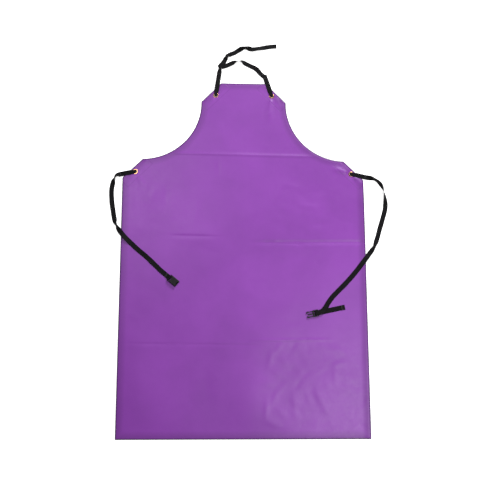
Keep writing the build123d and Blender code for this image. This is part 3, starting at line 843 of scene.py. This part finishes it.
def tape_mesh(name, points, sides, widths=TAPE_WIDTH_MM, bend=lambda points: points):
    """
    A woven tape along points in millimetres, with its width along sides. The cross ribs are
    real: every other ring is a little thinner. The finished points go through bend.
    """
    count = len(points)
    widths = np.broadcast_to(widths, count)
    thick = TAPE_MM * np.interp(widths, [GATHERED_MM, 11.5, TAPE_WIDTH_MM], [3.2, 1.4, 1.0])
    along = tangents(points)
    sides = sides - (sides * along).sum(1)[:, None] * along
    sides /= np.linalg.norm(sides, axis=1)[:, None]
    ups = np.cross(along, sides)
    outline = SECTION + [(-a, -h) for a, h in SECTION]
    across = np.array([a for a, _ in outline])
    upward = np.array([h for _, h in outline])
    rib = np.where(np.arange(count) % 2 == 0, 1.0, THIN_RIB)
    rings = (
        points[:, None, :]
        + sides[:, None, :] * (across[None, :, None] * widths[:, None, None] / 2)
        + ups[:, None, :] * (upward[None, :, None] * (thick * rib)[:, None, None] / 2)
    )
    size = len(outline)
    uvs = np.stack([
        np.tile(across, count) * np.repeat(widths, size) / 2 * MM,
        np.repeat(along_line(points), size) * MM,
    ], axis=1)
    faces = [face[::-1] for face in tube_faces(count, size)]
    return new_object(f"{name}_tape", bend(rings.reshape(-1, 3)) * MM, faces, TAPE, uvs)


def lay_flat(line, wobble, twists=(), least=None):
    """
    A tape's middle line and its side directions as it lies on the panel and the table.
    wobble is how far it rocks from side to side, in degrees. twists are (place from 0 to 1,
    turn in degrees, half length in mm, whether it turns back).
    least is a height under the tape that it must clear, such as another tape's.
    """
    line = evenly(line, RIB_STEP_MM)
    along = tangents(line)
    flat_side = np.stack([-along[:, 1], along[:, 0], np.zeros(len(line))], axis=1)
    flat_side /= np.linalg.norm(flat_side, axis=1)[:, None]
    distance = np.arange(len(line)) * RIB_STEP_MM
    roll = np.radians(wobble) * np.sin(distance / 31.0 + 1.3) * np.sin(distance / 12.5)
    roll *= smooth(distance, 0, 25) * (1 - smooth(distance, distance[-1] - 25, distance[-1]))
    for place, degrees, half, returns in twists:
        middle = place * distance[-1]
        rise = smooth(distance, middle - half, middle + half)
        if returns:
            back = smooth(distance, middle, middle + half)
            rise = smooth(distance, middle - half, middle) * (1 - back)
        roll = roll + math.radians(degrees) * rise
    under = np.max([
        table_or_panel((line + flat_side * share * TAPE_WIDTH_MM / 2)[:, :2])
        for share in (-0.9, -0.45, 0.0, 0.45, 0.9)
    ], axis=0)
    if least is not None:
        under = np.maximum(under, least(line, distance))
    under = softened(under, 14)
    half_height = np.abs(np.sin(roll)) * TAPE_WIDTH_MM / 2 + np.abs(np.cos(roll)) * TAPE_MM / 2
    line[:, 2] = under + half_height + LIE_GAP_MM
    up = np.array([0.0, 0.0, 1.0])
    sides = flat_side * np.cos(roll)[:, None] + up * np.sin(roll)[:, None]
    return line, sides


def local_line(origin, degrees, steps):
    """A smooth line through (u, height) steps in a vertical plane, with its side direction."""
    direction = facing(degrees)
    route = [tuple((origin + direction * u) * MM) for u, _ in steps]
    points = route_line(route, [z * MM for _, z in steps])
    side = np.array([-direction[1], direction[0], 0.0])
    points = evenly(points, RIB_STEP_MM)
    return points, np.tile(side, (len(points), 1))


def gathered(points, eyelet, degrees):
    """Tape width: narrow where it is gathered in an eyelet, full away from it."""
    along = (points[:, :2] - eyelet) @ facing(degrees)
    return GATHERED_MM + 4.8 * smooth(along, -2.0, 6) + 3.0 * smooth(along, 6, 17)


def loop_mesh(name, eyelet, degrees, steps):
    points, sides = local_line(eyelet, degrees, steps)
    return tape_mesh(name, points, sides, gathered(points, eyelet, degrees))


LEG_MM = 0.42  # middle of a tape lying on the table
ON_PANEL_MM = FRONT_TOP_MM + LEG_MM
SECOND_MM = 1.14  # middle of a tape lying on that one
OVER_FLANGE_MM = 3.95


def eyelet_steps(clear, length):
    """(u, height) steps of a tape from its sewn end, under the edge, up the eyelet and back."""
    under = [(length, LEG_MM), (length * 0.72, LEG_MM), (clear * 0.5, LEG_MM), (7, LEG_MM + 0.25)]
    up = [(-2.0, LEG_MM + 0.8), (-3.1, 2.4), (-2.9, OVER_FLANGE_MM + 1.0)]
    over = [(5, OVER_FLANGE_MM + 0.7), (13, OVER_FLANGE_MM - 0.1), (clear * 0.62, 3.35)]
    sewn = (length + clear) / 2 + 6
    down = [(clear, 3.05), (clear + 5, 2.0), (clear + 10, SECOND_MM), (sewn, SECOND_MM)]
    return under + up + over + down


def finish_tape(piece, body, *nodes):
    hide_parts(*nodes)
    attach(piece, body)


TACK_TOP_MM = 0.42  # middle of a tack's threads above the middle of the tape under it
THREAD_HALF_MM = 0.36
THREAD_SIDES = 6
# A thread's rings: place along it from -1 to 1, and share of its thickness.
THREAD_RINGS = ((-1.0, 0.15), (-0.8, 0.7), (0.0, 1.0), (0.8, 0.7), (1.0, 0.15))


def thread(points, faces, middle, long_axis, long_half, short_axis, short_half):
    """Add one stitch, a rounded spindle, to a list of points and a list of faces."""
    first = len(points)
    for place, swell in THREAD_RINGS:
        for turn in range(THREAD_SIDES):
            angle = turn * 2 * math.pi / THREAD_SIDES
            points.append(
                middle + long_axis * place * long_half
                + short_axis * math.cos(angle) * swell * short_half
                + np.array([0, 0, math.sin(angle) * swell * 0.26])
            )
    faces.extend(tube_faces(len(THREAD_RINGS), THREAD_SIDES, first))


def make_stitches(name, origin, degrees, u, tape_height, body, node):
    """A bar tack of close threads across a tape, and a row of single stitches beside it."""
    direction = np.array([*facing(degrees), 0.0])
    side = np.array([-direction[1], direction[0], 0.0])
    start = np.array([*origin, tape_height + TACK_TOP_MM])
    reach = TAPE_WIDTH_MM / 2 - 0.9
    points, faces = [], []
    for k in range(16):
        middle = start + direction * u + side * (-1 + 2 * k / 15) * reach
        thread(points, faces, middle, direction, 1.15, side, THREAD_HALF_MM)
    for k in range(7):
        middle = start + direction * (u + 3.0) + side * (-0.86 + 1.72 * k / 6) * reach
        thread(points, faces, middle, side, 0.9, direction, 0.28)
    made = new_object(name, np.array(points) * MM, faces, THREAD)
    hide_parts(node)
    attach(made, body)
    return made


# ---- waist tapes ----
def make_waist_loops():
    for name, eyelet, degrees in (("left", WAIST_LEFT, 191), ("right", WAIST_RIGHT, -11)):
        loop = loop_mesh(f"waist_loop_{name}", eyelet, degrees, eyelet_steps(32, 51))
        finish_tape(loop, f"waist_strap_{name}", f"waist_loop_{name}")
        make_stitches(
            f"waist_tack_{name}", eyelet, degrees, 45.5, SECOND_MM,
            f"waist_strap_{name}", f"waist_stitches_{name}",
        )


def make_left_waist_tape():
    line, sides = lay_flat(
        route_line(LEFT_ROUTE), wobble=7,
        twists=[(0.045, 56, 20, True), (0.44, 62, 22, True), (0.58, -14, 30, True)],
    )
    tape = tape_mesh("waist_tape_left", line, sides)
    finish_tape(tape, "waist_strap_left", "waist_tape_left")
    steps = [
        (-19, ON_PANEL_MM), (-12, ON_PANEL_MM), (-5, ON_PANEL_MM), (-1.6, 3.3), (1.4, 3.35),
        (2.35, 5.6), (1.4, 7.9), (-1.6, 7.9), (-4.5, 6.4), (-8, 4.1),
        (-11, ON_PANEL_MM + 0.75), (-16, ON_PANEL_MM + 0.74),
    ]
    turn = tape_mesh("socket_tape_end", *local_line(SOCKET_BAR, SOCKET_DEGREES, steps))
    finish_tape(turn, "waist_strap_left", "socket_tape_end")
    tack = make_stitches(
        "socket_tack", SOCKET_BAR, SOCKET_DEGREES, -14.6, ON_PANEL_MM + 0.74,
        "waist_strap_left", "socket_stitches",
    )


def make_right_waist_tape():
    """One tape: to the clip, over its rear bar, round the middle bar and back as the tail."""
    high = CLIP_TOP_MM + TAPE_MM / 2
    tail_line = evenly(route_line(RIGHT_TAIL_ROUTE), RIB_STEP_MM)

    def under_tape(line, distance):
        away = np.array([distance_to(tail_line[:, :2], spot).min() for spot in line[:, :2]])
        to_end = distance[-1] - distance
        on_tail = (FRONT_TOP_MM + 1.1) * (1 - smooth(away, 12, 17)) * (to_end < 120)
        on_clip = CLIP_TOP_MM * (1 - smooth(to_end, 3, 24))
        return np.maximum(on_tail, on_clip)

    line, sides = lay_flat(
        route_line(RIGHT_ROUTE), wobble=7, least=under_tape,
        twists=[(0.05, 58, 30, True), (0.13, 180, 60, False), (0.485, 56, 26, True)],
    )
    turn, turn_sides = local_line(CLIP_BAR, CLIP_DEGREES, [
        (-11, high), (-5, high), (1.2, high + 0.1), (2.6, high - 0.6), (2.6, ON_PANEL_MM + 1.0),
        (1.2, ON_PANEL_MM - 0.05), (-5, ON_PANEL_MM), (-11, ON_PANEL_MM),
    ])
    tail, tail_sides = lay_flat(tail_line, wobble=3)
    flip = np.sign(sides[-1] @ turn_sides[0])
    points = np.concatenate([line[:-2], turn[1:-1], tail[2:]])
    points[:, 2] = softened(points[:, 2], 3)
    every_side = np.concatenate([sides[:-2] * flip, turn_sides[1:-1], -tail_sides[2:]])
    tape = tape_mesh("waist_tape_right", points, every_side)
    finish_tape(tape, "waist_strap_right", "waist_tape_right", "clip_tape_turn", "waist_tail_right")
    end = tail[-1]
    hem_line = evenly(np.array([end + [0.4, 0.1, 0.0], end + [-11.5, -2.4, 0.0]]), RIB_STEP_MM)
    hem_line[:, 2] = end[2] + 0.68
    hem_side = np.tile(tail_sides[-1], (len(hem_line), 1))
    hem = tape_mesh("tail_hem_right", hem_line, hem_side)
    finish_tape(hem, "waist_strap_right", "tail_hem_right")
    tack = make_stitches(
        "tail_hem_stitches", end[:2], 11.8, -9.5, end[2] + 0.63,
        "waist_strap_right", "tail_stitches_right",
    )


make_waist_loops()
make_left_waist_tape()
make_right_waist_tape()


# ---- neck tape ----
KEEPER_DEGREES = 81.7
RIGHT_NECK_DEGREES = 107.7
CREASE_POINT = np.array([-79.0, 602.8])
CREASE_ALONG = facing(122.5)
CREASE_ACROSS = np.array([-CREASE_ALONG[1], CREASE_ALONG[0]])
IN_EYE_MM = 1.15
FOLD_RADIUS_MM = 0.78
KEEPER_MIDDLE = np.array([-79.0, 606.0])
EYE_MOUTH_X_MM = -71.4  # where the neck tape ends and its tail starts, inside the keeper's eye


def mirrored_in_crease(points):
    """Plan points reflected in the line where the neck tape folds back."""
    offset = points[:, :2] - CREASE_POINT
    along = (offset @ CREASE_ALONG)[:, None] * CREASE_ALONG
    result = points.copy()
    result[:, :2] = CREASE_POINT + 2 * along - offset
    return result


def folded(points):
    """Points of an unfolded tape, turned up over the crease and laid back on top of itself."""
    past = (points[:, :2] - CREASE_POINT) @ CREASE_ACROSS
    angle = np.clip(past / FOLD_RADIUS_MM, 0, math.pi)
    radius = FOLD_RADIUS_MM - (points[:, 2] - IN_EYE_MM)
    bend = math.pi * FOLD_RADIUS_MM
    place = np.minimum(past, 0) + radius * np.sin(angle) + np.minimum(bend - past, 0)
    result = points.copy()
    result[:, :2] += (place - past)[:, None] * CREASE_ACROSS
    result[:, 2] = IN_EYE_MM + FOLD_RADIUS_MM - radius * np.cos(angle)
    return result


def make_neck_loops():
    steps = [
        (74, SECOND_MM), (80, 1.9), (90, 2.0), (104, 1.95), (108.9, 1.85), (108.9, 0.78),
        (104, 0.66), (90, 0.62), *eyelet_steps(40, 66)[1:], (66, SECOND_MM), (73, SECOND_MM - 0.05),
    ]
    points, sides = local_line(BIB_LEFT, KEEPER_DEGREES, steps)
    in_eye = smooth(distance_to(points[:, :2], BIB_LEFT), 77, 92)
    widths = gathered(points, BIB_LEFT, KEEPER_DEGREES) - 5.0 * in_eye
    keeper = tape_mesh("neck_keeper", points, sides, widths)
    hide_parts("neck_loop_left", "neck_keeper_eye")
    steps = [*eyelet_steps(47, 72), (74, SECOND_MM)]
    loop = loop_mesh("neck_loop_right", BIB_RIGHT, RIGHT_NECK_DEGREES, steps)
    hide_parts("neck_loop_right")
    for piece in (keeper, loop):
        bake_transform(piece)
    make_stitches(
        "neck_keeper_tack", BIB_LEFT, KEEPER_DEGREES, 73.5, SECOND_MM,
        "neck_strap", "neck_keeper_stitches",
    )
    make_stitches(
        "neck_tack_right", BIB_RIGHT, RIGHT_NECK_DEGREES, 62, SECOND_MM,
        "apron", "neck_stitches_right",
    )


def make_neck_tape():
    line, sides = lay_flat(
        route_line(NECK_ROUTE), wobble=6, twists=[(0.58, 74, 24, True), (0.20, -12, 24, True)],
        least=lambda line, distance: 0.78 * smooth(-line[:, 0], 48, 64),
    )
    keep = line[:, 0] > EYE_MOUTH_X_MM
    tape = tape_mesh("neck_tape", line[keep], sides[keep])
    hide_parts("neck_tape")
    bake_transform(tape)


def make_neck_tail():
    """The neck tape's free end: out of the keeper's eye, folded back over it and away."""
    flat = mirrored_in_crease(evenly(route_line(NECK_TAIL_ROUTE), RIB_STEP_MM))
    start = np.array([[-71.0, 604.6, 0.0], [-78.0, 603.1, 0.0]])
    unfolded = evenly(np.concatenate([start, flat[4:]]), RIB_STEP_MM)
    for k in range(2):
        unfolded[:, k] = softened(unfolded[:, k], 9)
    line, sides = lay_flat(
        unfolded, wobble=6,
        twists=[(0.24, -34, 12, True), (0.535, 74, 26, True), (0.74, -16, 30, True)],
    )
    past = (line[:, :2] - CREASE_POINT) @ CREASE_ACROSS
    on_keeper = 1 - smooth(distance_to(folded(line)[:, :2], KEEPER_MIDDLE), 22, 48)
    over = IN_EYE_MM + 2 * FOLD_RADIUS_MM
    wanted = line[:, 2] + (over - LEG_MM) * on_keeper
    line[:, 2] = np.where(past < math.pi * FOLD_RADIUS_MM, IN_EYE_MM, over + IN_EYE_MM - wanted)
    tail = tape_mesh("neck_tail", line, sides, bend=folded)
    path = folded(line)
    finish_tape(tail, "neck_strap", "neck_tape_tail")


make_neck_loops()
make_neck_tape()
make_neck_tail()


# ---- CAD pieces that keep their shape ----
def dress(prefixes, material):
    for name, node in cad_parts.items():
        if name.startswith(prefixes):
            node.data.materials.clear()
            node.data.materials.append(material)


dress(("eyelet",), BRASS)
dress(("buckle", "clip_prong"), PLASTIC)


# ---- floor and light ----
WHITE = (1, 1, 1, 1)
FLOOR_HALF = 12.0
FLOOR_Z = -0.0004
FLOOR_GLOW = 0.65
SKY_GLOW = 0.19


def make_floor():
    look = Nodes("floor")
    look.set(Base_Color=(0.93, 0.93, 0.93, 1), Roughness=0.9, Specular_IOR_Level=0.0)
    look.set(Emission_Color=WHITE, Emission_Strength=FLOOR_GLOW)
    corners = [(x * FLOOR_HALF, y * FLOOR_HALF, FLOOR_Z) for x, y in ((-1, -1), (1, -1), (1, 1), (-1, 1))]
    floor = new_object("floor", corners, [(0, 1, 2, 3)], look.material)


def make_light(name, place, aim, size, power):
    data = bpy.data.lights.new(name, "AREA")
    data.size = size
    data.energy = power
    light = add_object(name, data)
    light.location = place
    light.rotation_euler = (Vector(aim) - Vector(place)).to_track_quat("-Z", "Y").to_euler()


def make_world():
    """A faint even light from all round, on a background that the camera sees as white."""
    world = bpy.data.worlds.new("studio")
    world.use_nodes = True
    tree = world.node_tree
    background = tree.nodes["Background"].inputs
    background["Color"].default_value = WHITE
    seen = tree.nodes.new("ShaderNodeLightPath")
    strength = tree.nodes.new("ShaderNodeMapRange")
    strength.inputs["To Min"].default_value = SKY_GLOW
    tree.links.new(seen.outputs["Is Camera Ray"], strength.inputs["Value"])
    tree.links.new(strength.outputs["Result"], background["Strength"])
    bpy.context.scene.world = world


make_floor()
make_world()
make_light("key", (1.15, 2.6, 1.7), (0.1, 0.1, 0), 0.9, 104)
make_light("right", (0.76, -0.55, 1.6), (0.3, -0.35, 0), 0.7, 16)
make_light("left", (-0.5, 0.62, 1.5), (-0.3, 0.2, 0), 0.5, 6.5)
bpy.context.scene.view_settings.view_transform = "Standard"
